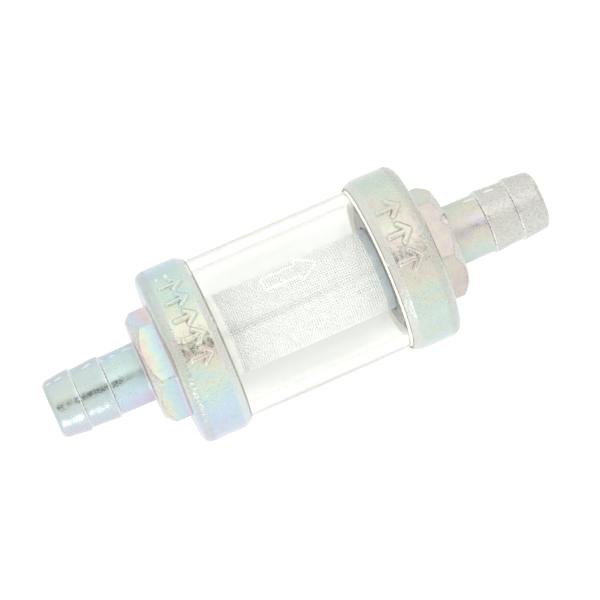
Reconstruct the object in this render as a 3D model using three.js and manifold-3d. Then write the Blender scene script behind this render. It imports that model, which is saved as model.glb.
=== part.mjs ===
// An in-line fuel filter with a glass bowl, for the fuel line of a small engine.
//
// Two die-cast zinc caps clamp a glass tube between flat gaskets. A hollow stud joins the caps:
// it is drilled from both ends, has a solid web near its inlet end, and has a right-hand thread at
// each end that screws into the caps. A gauze element on a moulded cage sits over the stud.
// Fuel enters the inlet nipple, leaves the stud by the inlet ports, passes the slots in the inlet
// cap's boss into the bowl, goes through the gauze, and leaves by the outlet ports and nipple.
//
// Millimetres, +Z up. The origin is the middle of the filter on its flow axis, and +X points
// downstream, from the inlet nipple to the outlet nipple. A flat of each hexagon faces up.
import * as THREE from "three";
import { mergeVertices } from "three/addons/utils/BufferGeometryUtils.js";
import Module from "manifold-3d";

const wasm = await Module();
wasm.setup();

// ---- Driving dimensions ----

const WINDOW = 23.1; // glass in sight between the mouths of the two caps

// Cap, measured outwards from its mouth
const CAP_R = 12.1;
const CAP_LENGTH = 6.95;
const SHOULDER_R = 1.35; // round between the rim and the back face
const MOUTH_CHAMFER = 1.1;
const MOUTH_LAND = 0.15;
const HEX_ACROSS_FLATS = 14;
const HEX_LENGTH = 3.35;
const HEX_CORNER_R = 7.95; // the corners are turned down to this radius
const HEX_CHAMFER = 1.15; // at 45 degrees

// Nipple for a hose of 8 mm bore
const NIPPLE_ROOT_R = 4.1;
const NIPPLE_RIDGE_R = 4.35;
const NIPPLE_TIP_R = 4.0;
const NIPPLE_BORE_R = 2.5;
const NIPPLE_ROOT_LENGTH = 4.95;
const BARB_LENGTH = 4.1;
const BARBS = 2;
const RIDGE_RISE = 0.15; // along the nipple, from the root's end to the ridge
const RIDGE_LAND = 0.45;
const TIP_CHAMFER = 0.45;

// Seat for the glass in the cap, and the boss inside it
const RECESS_DEPTH = 4.8;
const SEAT_CLEARANCE = 0.25;
const BOSS_R = 8.1;
const BOSS_BORE_R = 5.9;
const BOSS_BORE_DEPTH = 3.6;
const BOSS_SLOTS = 4;
const BOSS_SLOT_WIDTH = 3;
const BOSS_SLOT_DEPTH = 3;

// Glass and gaskets
const GLASS_R = 11.1;
const GLASS_WALL = 1.5;
const GASKET_R = 11.15;
const GASKET_BORE_R = 8.3;
const GASKET_THICKNESS = 1.5;
const CONTACT = 0.02; // between flat faces that bear on each other

// Stud and its M8 x 1.25 thread
const STUD_R = 4.0;
const STUD_BORE_R = 2.5;
const THREAD_PITCH = 1.25;
const THREAD_DEPTH = 0.65;
const THREAD_CLEARANCE = 0.25;
const THREAD_TURNS = 4; // in engagement, which is how far a cap unscrews
const THREAD_RELIEF = 0.6; // between the shank and the mouth of the threaded hole
const THREAD_HOLE_SPARE = 0.7; // of threaded hole beyond the stud's end
const INLET_PORT_R = 1.0;
const OUTLET_PORT_R = 1.25;
const PORTS_ROUND = 4;
const WEB_LENGTH = 3.6;

// Filter element
const GAUZE_R = 5.65;
const GAUZE_THICKNESS = 0.3;
const CAGE_WALL = 0.55;
const CAGE_RIBS = 8;
const CAGE_RIB_WIDTH = 1.1;
const CAGE_BAYS = 3; // rows of windows along the cage
const CAGE_RING = 1.2;
const INLET_PLUG_SHOWS = 1.4; // of plug between the mouth and the gauze
const OUTLET_COLLAR_SHOWS = 0.9;
const PLUG_ENTRY = 1.2; // how far the plug enters the inlet boss
const SPIGOT_LENGTH = 1.2;
const SLIP = 0.05; // between the moulded pieces of the element
const BORE_CLEARANCE = 0.15; // around the stud
const WASHER_THICKNESS = 0.75;

// Working lengths of the solids that are cut and joined
const OVERRUN = 1; // how far a cutting tool runs past a face
const LAP = 0.5; // how far joined solids run into each other

// Facets round a full turn
const ROUND = 48;
const SMALL_ROUND = 32;
const PORT_ROUND = 12;
const THREAD_ROUND = 24;
const SHOULDER_STEPS = 5;
const THREAD_STEPS = 4; // rings of facets in one pitch

// ---- Worked-out places ----

const MOUTH_X = WINDOW / 2;
const HEX_END = CAP_LENGTH + HEX_LENGTH;
const CAP_TOTAL = HEX_END + NIPPLE_ROOT_LENGTH + BARBS * BARB_LENGTH;
const THREAD_LENGTH = THREAD_TURNS * THREAD_PITCH;
const STUD_END = MOUTH_X + BOSS_BORE_DEPTH + THREAD_LENGTH;
const SHANK_END = MOUTH_X + BOSS_BORE_DEPTH - THREAD_RELIEF;
const GLASS_END = MOUTH_X + RECESS_DEPTH - GASKET_THICKNESS - 2 * CONTACT;
const CAGE_R = GAUZE_R - GAUZE_THICKNESS - SLIP;
const CAGE_BORE_R = CAGE_R - CAGE_WALL;
const GAUZE_START = -MOUTH_X + INLET_PLUG_SHOWS;
const GAUZE_END = MOUTH_X - OUTLET_COLLAR_SHOWS;
const INLET_PORT_X = -MOUTH_X - (PLUG_ENTRY + BOSS_BORE_DEPTH) / 2;
const WEB_START = -MOUTH_X - PLUG_ENTRY + INLET_PORT_R / 2;
const WEB_END = WEB_START + WEB_LENGTH;
const OUTLET_PORT_ROWS = [-0.25, 0.2, 0.65]; // as shares of half the gauze

// ---- Solids ----

// A closed three.js geometry as a manifold-3d solid.
function solid(geometry) {
  const bare = geometry.index ? geometry.toNonIndexed() : geometry.clone();
  bare.deleteAttribute("normal");
  bare.deleteAttribute("uv");
  const merged = mergeVertices(bare, 1e-4);
  return new wasm.Manifold(
    new wasm.Mesh({
      numProp: 3,
      vertProperties: merged.attributes.position.array,
      triVerts: new Uint32Array(merged.index.array),
    }),
  );
}

// A solid turned about +X from a closed outline of [along, radius] points, with a facet at its foot.
function turned(outline, facets = ROUND) {
  const points = outline.map(([along, radius]) => new THREE.Vector2(radius, along));
  if (THREE.ShapeUtils.area(points) < 0) points.reverse();
  points.push(points[0].clone());
  const geometry = new THREE.LatheGeometry(points, facets);
  geometry.rotateZ(-Math.PI / 2).rotateX(Math.PI / facets);
  return solid(geometry);
}

// A plain tube, or a rod where the inner radius is 0, from one place along X to another.
function tube(outer, inner, from, to, facets = ROUND) {
  return turned([[from, inner], [to, inner], [to, outer], [from, outer]], facets);
}

// A rod along X, for cutting holes.
function rod(radius, from, to, facets = SMALL_ROUND) {
  const geometry = new THREE.CylinderGeometry(radius, radius, to - from, facets);
  geometry.rotateZ(-Math.PI / 2).rotateX(Math.PI / facets).translate((from + to) / 2, 0, 0);
  return solid(geometry);
}

// A rod along X with a right-hand thread, whose helix has the same phase wherever the rod starts.
function threadedRod(outer, from, to) {
  const rings = Math.ceil(((to - from) / THREAD_PITCH) * THREAD_STEPS);
  const geometry = new THREE.CylinderGeometry(outer, outer, to - from, THREAD_ROUND, rings);
  geometry.rotateZ(-Math.PI / 2).translate((from + to) / 2, 0, 0);
  const position = geometry.attributes.position;
  for (let i = 0; i < position.count; i += 1) {
    const [x, y, z] = [position.getX(i), position.getY(i), position.getZ(i)];
    if (Math.hypot(y, z) < outer / 2) continue; // the middle of an end face
    const angle = Math.atan2(z, y);
    const phase = x / THREAD_PITCH - angle / (2 * Math.PI);
    const groove = 1 - Math.abs(2 * (phase - Math.floor(phase)) - 1);
    const radius = outer - THREAD_DEPTH * groove;
    position.setY(i, radius * Math.cos(angle));
    position.setZ(i, radius * Math.sin(angle));
  }
  return solid(geometry);
}

// Holes drilled across the axis, spread evenly round it and running out from the axis.
function crossHoles(count, radius, reach, x) {
  return Array.from({ length: count }, (_, i) => {
    const geometry = new THREE.CylinderGeometry(radius, radius, reach, PORT_ROUND);
    geometry.translate(0, reach / 2, 0).rotateX((i * 2 * Math.PI) / count).translate(x, 0, 0);
    return solid(geometry);
  });
}

// Boxes set round the axis, each running out from the axis between two places along X.
function radialBoxes(count, width, reach, from, to, turn = 0) {
  return Array.from({ length: count }, (_, i) => {
    const geometry = new THREE.BoxGeometry(to - from, reach, width);
    geometry.translate((from + to) / 2, reach / 2, 0).rotateX((i * 2 * Math.PI) / count + turn);
    return solid(geometry);
  });
}

const cut = (body, tools) => tools.reduce((left, tool) => left.subtract(tool), body);

// ---- Caps ----

// The outline of a nipple from the hexagon's face to its tip: each barb rises to a ridge that
// faces the hexagon, and tapers towards the tip.
function nippleOutline() {
  const outline = [[CAP_LENGTH - LAP, 0], [CAP_LENGTH - LAP, NIPPLE_ROOT_R]];
  let along = HEX_END + NIPPLE_ROOT_LENGTH;
  outline.push([along, NIPPLE_ROOT_R]);
  for (let barb = 0; barb < BARBS; barb += 1) {
    const ridge = along + RIDGE_RISE;
    outline.push([ridge, NIPPLE_RIDGE_R], [ridge + RIDGE_LAND, NIPPLE_RIDGE_R]);
    along += BARB_LENGTH;
    if (barb < BARBS - 1) outline.push([along, NIPPLE_ROOT_R]);
  }
  outline.push([CAP_TOTAL - TIP_CHAMFER, NIPPLE_TIP_R]);
  outline.push([CAP_TOTAL, NIPPLE_TIP_R - TIP_CHAMFER], [CAP_TOTAL, 0]);
  return outline;
}

// The cup that holds the glass: a chamfered mouth, a plain rim and a rounded shoulder.
function cupOutline() {
  const outline = [
    [0, 0],
    [0, GLASS_R + SEAT_CLEARANCE + MOUTH_LAND],
    [MOUTH_CHAMFER, CAP_R],
  ];
  for (let i = 0; i <= SHOULDER_STEPS; i += 1) {
    const angle = (i / SHOULDER_STEPS) * (Math.PI / 2);
    outline.push([
      CAP_LENGTH - SHOULDER_R + SHOULDER_R * Math.sin(angle),
      CAP_R - SHOULDER_R + SHOULDER_R * Math.cos(angle),
    ]);
  }
  outline.push([CAP_LENGTH, 0]);
  return outline;
}

// The hexagon, with its corners turned down and chamfered.
function hexagon() {
  const corner = HEX_ACROSS_FLATS / Math.sqrt(3);
  const length = HEX_LENGTH + LAP;
  const geometry = new THREE.CylinderGeometry(corner, corner, length, 6);
  geometry.rotateZ(-Math.PI / 2).rotateX(Math.PI / 6).translate(HEX_END - length / 2, 0, 0);
  const turnedDown = turned([
    [CAP_LENGTH - LAP, 0],
    [CAP_LENGTH - LAP, HEX_CORNER_R],
    [HEX_END - HEX_CHAMFER, HEX_CORNER_R],
    [HEX_END, HEX_CORNER_R - HEX_CHAMFER],
    [HEX_END, 0],
  ]);
  return solid(geometry).intersect(turnedDown);
}

// One cap, built outwards along +X from a mouth at 0, and then moved to its mouth's place. The
// inlet cap is the same casting turned end for end, with slots through its boss.
function cap({ inlet }) {
  const blank = turned(cupOutline()).add(hexagon()).add(turned(nippleOutline(), SMALL_ROUND));
  const bores = [
    tube(GLASS_R + SEAT_CLEARANCE, BOSS_R, -OVERRUN, RECESS_DEPTH),
    rod(BOSS_BORE_R, -OVERRUN, BOSS_BORE_DEPTH),
    rod(NIPPLE_BORE_R, 0, CAP_TOTAL + OVERRUN),
  ];
  const slotReach = BOSS_R + SEAT_CLEARANCE;
  const slots = inlet
    ? radialBoxes(BOSS_SLOTS, BOSS_SLOT_WIDTH, slotReach, -OVERRUN, BOSS_SLOT_DEPTH, Math.PI / 4)
    : [];
  const bored = cut(blank, [...bores, ...slots]);
  const placed = inlet
    ? bored.rotate([0, 0, 180]).translate([-MOUTH_X, 0, 0])
    : bored.translate([MOUTH_X, 0, 0]);
  const holeStart = MOUTH_X + BOSS_BORE_DEPTH - CONTACT;
  const holeEnd = STUD_END + THREAD_HOLE_SPARE;
  const hole = inlet ? [-holeEnd, -holeStart] : [holeStart, holeEnd];
  return placed.subtract(threadedRod(STUD_R + THREAD_CLEARANCE, ...hole));
}

// ---- Bowl ----

const glass = () => tube(GLASS_R, GLASS_R - GLASS_WALL, -GLASS_END, GLASS_END);

function gasket(side) {
  const near = GLASS_END + CONTACT;
  const places = [near, near + GASKET_THICKNESS].map((along) => side * along);
  return tube(GASKET_R, GASKET_BORE_R, Math.min(...places), Math.max(...places));
}

// ---- Stud ----

function stud() {
  const middle = tube(STUD_R, 0, -SHANK_END, SHANK_END, THREAD_ROUND);
  const ends = [
    threadedRod(STUD_R, SHANK_END - LAP, STUD_END),
    threadedRod(STUD_R, -STUD_END, -SHANK_END + LAP),
  ];
  const blank = ends.reduce((whole, end) => whole.add(end), middle);
  const drillings = [
    rod(STUD_BORE_R, -STUD_END - OVERRUN, WEB_START, THREAD_ROUND),
    rod(STUD_BORE_R, WEB_END, STUD_END + OVERRUN, THREAD_ROUND),
  ];
  const inletPorts = crossHoles(PORTS_ROUND, INLET_PORT_R, STUD_R + OVERRUN, INLET_PORT_X);
  const outletPorts = OUTLET_PORT_ROWS.flatMap((share) =>
    crossHoles(PORTS_ROUND, OUTLET_PORT_R, STUD_R + OVERRUN, share * GAUZE_END),
  );
  return cut(blank, [...drillings, ...inletPorts, ...outletPorts]);
}

// ---- Filter element ----

const gauze = () => tube(GAUZE_R, GAUZE_R - GAUZE_THICKNESS, GAUZE_START, GAUZE_END, SMALL_ROUND);

// A moulded tube with rows of windows between its ribs and rings.
function cage() {
  const from = GAUZE_START + SLIP;
  const to = GAUZE_END - SLIP;
  const bay = (to - from - CAGE_RING) / CAGE_BAYS;
  const window = (2 * CAGE_R * Math.PI) / CAGE_RIBS - CAGE_RIB_WIDTH;
  const shell = tube(CAGE_R, CAGE_BORE_R, from, to, SMALL_ROUND);
  const windows = Array.from({ length: CAGE_BAYS }, (_, i) => {
    const start = from + CAGE_RING + i * bay;
    return radialBoxes(CAGE_RIBS, window, CAGE_R + OVERRUN, start, start + bay - CAGE_RING);
  });
  return cut(shell, windows.flat());
}

// An end piece of the element: a ring as wide as the gauze, with a spigot inside the cage.
function endPiece(ringFrom, ringTo, spigotFrom, spigotTo) {
  const bore = STUD_R + BORE_CLEARANCE;
  const ring = tube(GAUZE_R, bore, ringFrom, ringTo, SMALL_ROUND);
  return ring.add(tube(CAGE_BORE_R - SLIP, bore, spigotFrom, spigotTo, SMALL_ROUND));
}

function inletPlug() {
  const ring = [-MOUTH_X - PLUG_ENTRY, GAUZE_START - SLIP];
  return endPiece(...ring, GAUZE_START - LAP, GAUZE_START + SPIGOT_LENGTH);
}

function outletCollar() {
  const end = MOUTH_X + BOSS_BORE_DEPTH - WASHER_THICKNESS - 2 * CONTACT;
  return endPiece(GAUZE_END + SLIP, end, GAUZE_END - SPIGOT_LENGTH, GAUZE_END + LAP);
}

function washer() {
  const end = MOUTH_X + BOSS_BORE_DEPTH - CONTACT;
  return tube(GAUZE_R - SLIP, STUD_R + BORE_CLEARANCE, end - WASHER_THICKNESS, end, SMALL_ROUND);
}

// ---- Materials and assembly ----

const finish = (color, roughness, metalness, opacity = 1) =>
  new THREE.MeshStandardMaterial({
    color,
    roughness,
    metalness,
    opacity,
    transparent: opacity < 1,
  });

const MATERIALS = {
  zinc: finish(0xcbd2cc, 0.4, 0.9),
  steel: finish(0xb9bcbe, 0.35, 0.9),
  glass: finish(0xeef2ee, 0.05, 0, 0.3),
  rubber: finish(0xcac7b4, 0.7, 0),
  gauze: finish(0xe6e8e2, 0.8, 0),
  nylon: finish(0xe9ebe6, 0.5, 0),
  collar: finish(0xa9bcc4, 0.4, 0),
};

// A mesh holding the solid's own vertices and faces.
function mesh(name, body, material) {
  const { numProp, numVert, vertProperties, triVerts } = body.getMesh();
  const places = new Float32Array(numVert * 3);
  for (let i = 0; i < numVert; i += 1) {
    places.set(vertProperties.subarray(i * numProp, i * numProp + 3), i * 3);
  }
  const geometry = new THREE.BufferGeometry();
  geometry.setAttribute("position", new THREE.BufferAttribute(places, 3));
  geometry.setIndex(new THREE.BufferAttribute(new Uint32Array(triVerts), 1));
  geometry.computeVertexNormals();
  const made = new THREE.Mesh(geometry, material);
  made.name = name;
  return made;
}

const filter = new THREE.Group();
filter.add(
  mesh("inlet_cap", cap({ inlet: true }), MATERIALS.zinc),
  mesh("outlet_cap", cap({ inlet: false }), MATERIALS.zinc),
  mesh("glass_tube", glass(), MATERIALS.glass),
  mesh("inlet_gasket", gasket(-1), MATERIALS.rubber),
  mesh("outlet_gasket", gasket(1), MATERIALS.rubber),
  mesh("tie_stud", stud(), MATERIALS.steel),
  mesh("element_gauze", gauze(), MATERIALS.gauze),
  mesh("element_cage", cage(), MATERIALS.nylon),
  mesh("element_inlet_plug", inletPlug(), MATERIALS.nylon),
  mesh("element_outlet_collar", outletCollar(), MATERIALS.collar),
  mesh("element_washer", washer(), MATERIALS.rubber),
);

export default filter;
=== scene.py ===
# The looks of an in-line fuel filter with a glass bowl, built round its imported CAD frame. Blender 4.5.
import math

import bmesh
import bpy
import numpy as np
from mathutils import Matrix, Quaternion, Vector, noise


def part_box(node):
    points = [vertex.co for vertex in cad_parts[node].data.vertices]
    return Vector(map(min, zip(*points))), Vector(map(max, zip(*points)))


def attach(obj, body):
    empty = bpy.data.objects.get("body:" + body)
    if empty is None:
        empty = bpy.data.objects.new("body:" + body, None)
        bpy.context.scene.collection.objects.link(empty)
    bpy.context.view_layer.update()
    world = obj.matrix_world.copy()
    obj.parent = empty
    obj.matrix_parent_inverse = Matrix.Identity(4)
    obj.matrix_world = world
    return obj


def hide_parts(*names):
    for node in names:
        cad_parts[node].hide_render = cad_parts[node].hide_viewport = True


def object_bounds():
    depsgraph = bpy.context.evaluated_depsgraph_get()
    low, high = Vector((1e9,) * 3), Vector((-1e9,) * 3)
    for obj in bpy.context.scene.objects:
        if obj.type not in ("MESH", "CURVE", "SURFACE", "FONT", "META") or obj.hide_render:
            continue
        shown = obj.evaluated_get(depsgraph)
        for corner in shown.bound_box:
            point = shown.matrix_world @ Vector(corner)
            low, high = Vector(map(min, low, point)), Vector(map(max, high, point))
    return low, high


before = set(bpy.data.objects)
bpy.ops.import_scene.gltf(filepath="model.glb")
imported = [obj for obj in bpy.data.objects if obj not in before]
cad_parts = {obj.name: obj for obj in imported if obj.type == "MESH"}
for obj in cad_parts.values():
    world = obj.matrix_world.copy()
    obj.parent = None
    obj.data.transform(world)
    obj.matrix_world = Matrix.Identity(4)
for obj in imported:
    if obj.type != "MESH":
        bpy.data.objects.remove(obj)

# Sizes are in millimetres, and MM turns them into the frame's metres. +X points downstream.
# "Along" is a place on the flow axis. On a cap it is measured outwards from the cap's mouth.
# Angles round the flow axis go from +Y towards +Z.
MM = 0.001
TAU = 2 * math.pi

CAD_BOX = [list(corner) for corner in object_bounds()]


def along(node):
    """Where a CAD node starts and ends on the flow axis, in millimetres."""
    low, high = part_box(node)
    return low.x / MM, high.x / MM


# ---- Places read from the frame ----

MOUTH, NIPPLE_END = along("outlet_cap")
CAP_TOTAL = NIPPLE_END - MOUTH
GLASS_END = along("glass_tube")[1]
STUD_END = along("tie_stud")[1]
GAUZE_START, GAUZE_END = along("element_gauze")
CAGE_START, CAGE_END = along("element_cage")
PLUG_START, PLUG_END = along("element_inlet_plug")
COLLAR_START, COLLAR_END = along("element_outlet_collar")
WASHER_START, WASHER_END = along("element_washer")

# ---- Sizes, the same as the CAD model's ----

RIM_R = 12.1
CAP_LENGTH = 6.95
SHOULDER_R = 1.35
MOUTH_CHAMFER = 1.1
MOUTH_LAND_R = 11.5
RECESS_R = 11.35
RECESS_DEPTH = 4.8
BOSS_R = 8.1
BOSS_BORE_R = 5.9
BOSS_BORE_DEPTH = 3.6
SLOT_COUNT = 4
SLOT_DEPTH = 3.0
SLOT_WIDTH = 3.0
HEX_APOTHEM = 7.0
HEX_CORNER_R = 7.95
HEX_CHAMFER = 1.15
HEX_FACE_R = HEX_CORNER_R - HEX_CHAMFER
HEX_END = 10.3
NIPPLE_ROOT_R = 4.1
NIPPLE_RIDGE_R = 4.35
NIPPLE_TIP_R = 4.0
NIPPLE_BORE_R = 2.5
NIPPLE_ROOT_LENGTH = 4.95
BARB_LENGTH = 4.1
THREAD_HOLE_R = 4.25
THREAD_HOLE_SPARE = 0.7
THREAD_PITCH = 1.25
THREAD_DEPTH = 0.65
STUD_R = 4.0
STUD_BORE_R = 2.5
SHANK_RELIEF = 0.6
GLASS_R = 11.1
GLASS_WALL = 1.5
GASKET_R = 11.15
GASKET_BORE_R = 8.3
GAUZE_R = 5.65
GAUZE_THICKNESS = 0.3
CAGE_R = 5.3
CAGE_WALL = 0.55
CAGE_RIBS = 8
CAGE_RIB_WIDTH = 1.1
CAGE_BAYS = 3
CAGE_RING = 1.2
ELEMENT_BORE_R = 4.15

# The side of the filter that faces the camera, round the flow axis.
FACING = math.radians(102.6)


def linked(made):
    """Puts a new object in the scene."""
    bpy.context.scene.collection.objects.link(made)
    return made


def direction(azimuth, elevation):
    """A unit vector from the filter. Azimuth 0 is -Y, and elevation is up from the floor."""
    level = math.cos(elevation)
    return Vector((math.sin(azimuth) * level, -math.cos(azimuth) * level, math.sin(elevation)))


# ---- Camera ----

AZIMUTH = math.radians(-21.4)
ELEVATION = math.radians(76.5)
ROLL = math.radians(-2.78)
DISTANCE = 390 * MM
LENS = 178.0
SENSOR = 36.0
AIM_RIGHT = 0.354 * MM
AIM_UP = 0.511 * MM


def make_camera():
    """Makes the camera, and returns the direction it is in."""
    data = bpy.data.cameras.new("camera")
    data.lens = LENS
    data.sensor_width = SENSOR
    data.clip_end = 10
    camera = linked(bpy.data.objects.new("camera", data))
    towards = direction(AZIMUTH, ELEVATION)
    rotation = towards.to_track_quat("Z", "Y") @ Quaternion((0, 0, 1), ROLL)
    aim = rotation @ Vector((AIM_RIGHT, AIM_UP, 0))
    camera.location = aim + towards * DISTANCE
    camera.rotation_euler = rotation.to_euler()
    bpy.context.scene.camera = camera
    return towards


# ---- Meshes turned round the flow axis ----

ARC_STEP = math.radians(15)


def even_angles(count):
    return np.arange(count) * TAU / count


def fillet(before, here, after, radius):
    """The points that round one corner, each an array with a row for every column of the mesh."""
    if radius == 0:
        return [here]
    back, on = before - here, after - here
    back_length = np.linalg.norm(back, axis=-1, keepdims=True)
    on_length = np.linalg.norm(on, axis=-1, keepdims=True)
    back, on = back / back_length, on / on_length
    half = np.arccos(np.clip((back * on).sum(-1, keepdims=True), -1, 1)) / 2
    reach = np.minimum(radius / np.tan(half), 0.45 * np.minimum(back_length, on_length))
    middle = back + on
    middle /= np.linalg.norm(middle, axis=-1, keepdims=True)
    centre = here + middle * reach / np.cos(half)
    first, last = here + back * reach - centre, here + on * reach - centre
    turn = math.pi - 2 * half
    steps = max(2, math.ceil(turn.max() / ARC_STEP))
    shares = np.linspace(0, 1, steps + 1)
    return [
        centre + (np.sin((1 - share) * turn) * first + np.sin(share * turn) * last) / np.sin(turn)
        for share in shares
    ]


def rings_through(corners, columns, closed=True):
    """Rings of an outline with rounded corners, as an array of [ring, column, (along, radius)].

    A corner is (along, radius, fillet, step). Its place is a number, or an array with a value for
    each column, and the step is the longest one on the stretch that follows it.
    """
    places = [
        np.stack([np.broadcast_to(np.asarray(value, float), columns) for value in corner[:2]], -1)
        for corner in corners
    ]
    count = len(corners)
    arcs = []
    for i, corner in enumerate(corners):
        at_end = not closed and i in (0, count - 1)
        radius = 0 if at_end else corner[2]
        arcs.append(fillet(places[i - 1], places[i], places[(i + 1) % count], radius))
    rings = []
    for i, corner in enumerate(corners):
        rings.extend(arcs[i])
        if not closed and i == count - 1:
            break
        start, end = arcs[i][-1], arcs[(i + 1) % count][0]
        longest = np.linalg.norm(end - start, axis=-1).max()
        steps = max(1, math.ceil(longest / corner[3]))
        rings.extend(start + (end - start) * k / steps for k in range(1, steps))
    return np.array(rings)


def new_object(name, vertices, faces, material):
    """A mesh object from vertices in millimetres, with its faces turned outwards."""
    mesh = bpy.data.meshes.new(name)
    mesh.from_pydata((np.asarray(vertices, float) * MM).tolist(), [], np.asarray(faces).tolist())
    piece = linked(bpy.data.objects.new(name, mesh))
    body = bmesh.new()
    body.from_mesh(mesh)
    bmesh.ops.remove_doubles(body, verts=body.verts, dist=1e-8)
    if body.calc_volume(signed=True) < 0:
        bmesh.ops.reverse_faces(body, faces=body.faces)
    body.to_mesh(mesh)
    body.free()
    mesh.polygons.foreach_set("use_smooth", [True] * len(mesh.polygons))
    mesh.materials.append(material)
    return piece


def grid_faces(rows, columns, closed_rows=True):
    """Quads of a grid whose columns close on themselves, and whose rows may."""
    row = np.arange(rows if closed_rows else rows - 1)[:, None]
    column = np.arange(columns)[None, :]
    next_row, next_column = (row + 1) % rows, (column + 1) % columns
    corners = [
        row * columns + column,
        next_row * columns + column,
        next_row * columns + next_column,
        row * columns + next_column,
    ]
    return np.stack(corners, -1).reshape(-1, 4)


def turned_vertices(rings, angles, start=0.0, direction=1):
    x = start + direction * rings[..., 0]
    y = rings[..., 1] * np.cos(angles)
    z = rings[..., 1] * np.sin(angles)
    return np.stack([x, y, z], -1).reshape(-1, 3)


def turned(name, corners, material, columns=192, closed=True):
    """A plain turned piece. An outline that isn't closed starts and ends on the axis."""
    rings = rings_through(corners, columns, closed)
    vertices = turned_vertices(rings, even_angles(columns))
    return new_object(name, vertices, grid_faces(len(rings), columns, closed), material)


def ease(value):
    """A smooth step from 0 to 1."""
    value = np.clip(value, 0, 1)
    return value * value * (3 - 2 * value)


def thread_groove(x, angle):
    """How deep a right-hand thread is cut at a place, from 0 at its crest to 1 at its root."""
    phase = x / THREAD_PITCH - angle / TAU
    wave = 1 - np.abs(2 * (phase - np.floor(phase)) - 1)
    return ease(wave * 1.1 - 0.05)


# ---- Caps ----

MARK_HEIGHT = 0.28
MARK_SOFT = 0.13
ARROWHEAD = 0.15   # how far along from its middle an arrow's barbs end, as a share of half its length
FINE_STEP = 0.125
COARSE_STEP = 0.36


def cap_columns(centre, reach):
    """Angles round a cap, closer together within reach of the middle of its raised marks."""
    fine = np.arange(-reach, reach, FINE_STEP / RIM_R)
    coarse_count = math.ceil((TAU - 2 * reach) * RIM_R / COARSE_STEP)
    coarse = reach + np.arange(coarse_count) * (TAU - 2 * reach) / coarse_count
    return centre + np.concatenate([fine, coarse])


def hexagon_radius(angles):
    """Distance from the axis to a hexagon with a flat facing up and its corners turned down."""
    sixth = TAU / 6
    from_flat = (angles - TAU / 4 + sixth / 2) % sixth - sixth / 2
    return np.minimum(HEX_APOTHEM / np.cos(from_flat), HEX_CORNER_R)


def stroke_distance(points, start, end):
    """Distance of each point from a straight stroke."""
    start, end = np.array(start), np.array(end)
    run = end - start
    share = np.clip(((points - start) @ run) / (run @ run), 0, 1)
    return np.linalg.norm(points - start - share[..., None] * run, axis=-1)


def mark_heights(across, outwards, marks, centre_along, pitch, length, width, stroke, points_out):
    """Height of a row of raised arrows on the rim, all pointing downstream."""
    tip = length / 2 if points_out else -length / 2
    points = np.stack([outwards - centre_along, across], -1)
    nearest = np.full(across.shape, np.inf)
    for k in range(marks):
        middle = (k - (marks - 1) / 2) * pitch
        tail = (-tip, middle)
        barb_ends = [(tip * ARROWHEAD, middle + side * width / 2) for side in (-1, 1)]
        for end in (tail, *barb_ends):
            nearest = np.minimum(nearest, stroke_distance(points, (tip, middle), end))
    return MARK_HEIGHT * ease((stroke / 2 + MARK_SOFT - nearest) / MARK_SOFT)


def cap_outline(angles):
    """Corners of a cap's outline, from the floor of its recess, out over it, and back inside it."""
    hexagon = hexagon_radius(angles)
    side_end = HEX_END - (hexagon - HEX_FACE_R)
    ridge = HEX_END + NIPPLE_ROOT_LENGTH
    hole_end = STUD_END + THREAD_HOLE_SPARE - MOUTH
    corners = [
        (RECESS_DEPTH, RECESS_R, 0.1, 0.8),
        (0, RECESS_R, 0.06, 0.3),
        (0, MOUTH_LAND_R, 0.08, 0.2),
        (MOUTH_CHAMFER, RIM_R, 0.4, FINE_STEP),
        (CAP_LENGTH, RIM_R, SHOULDER_R, 0.35),
        (CAP_LENGTH, hexagon, 0.3, 0.25),
        (side_end, hexagon, 0.25, 0.12),
        (HEX_END, HEX_FACE_R, 0.25, 0.3),
        (HEX_END, NIPPLE_ROOT_R, 0.35, 0.28),
    ]
    for _ in range(2):
        corners += [
            (ridge, NIPPLE_ROOT_R, 0.06, 0.2),
            (ridge + 0.15, NIPPLE_RIDGE_R, 0.16, 0.2),
            (ridge + 0.6, NIPPLE_RIDGE_R, 0.3, 0.28),
        ]
        ridge += BARB_LENGTH
    corners += [
        (CAP_TOTAL - 0.45, NIPPLE_TIP_R, 0.4, 0.15),
        (CAP_TOTAL, NIPPLE_TIP_R - 0.45, 0.25, 0.2),
        (CAP_TOTAL, NIPPLE_BORE_R, 0.18, 0.9),
        (hole_end, NIPPLE_BORE_R, 0.05, 0.6),
        (hole_end, THREAD_HOLE_R, 0, THREAD_PITCH / 8),
        (BOSS_BORE_DEPTH, THREAD_HOLE_R, 0, 0.6),
        (BOSS_BORE_DEPTH, BOSS_BORE_R, 0.1, 0.5),
        (0, BOSS_BORE_R, 0.18, 0.4),
        (0, BOSS_R, 0.18, 0.5),
        (RECESS_DEPTH, BOSS_R, 0.1, 0.8),
    ]
    return corners, hole_end


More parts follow.
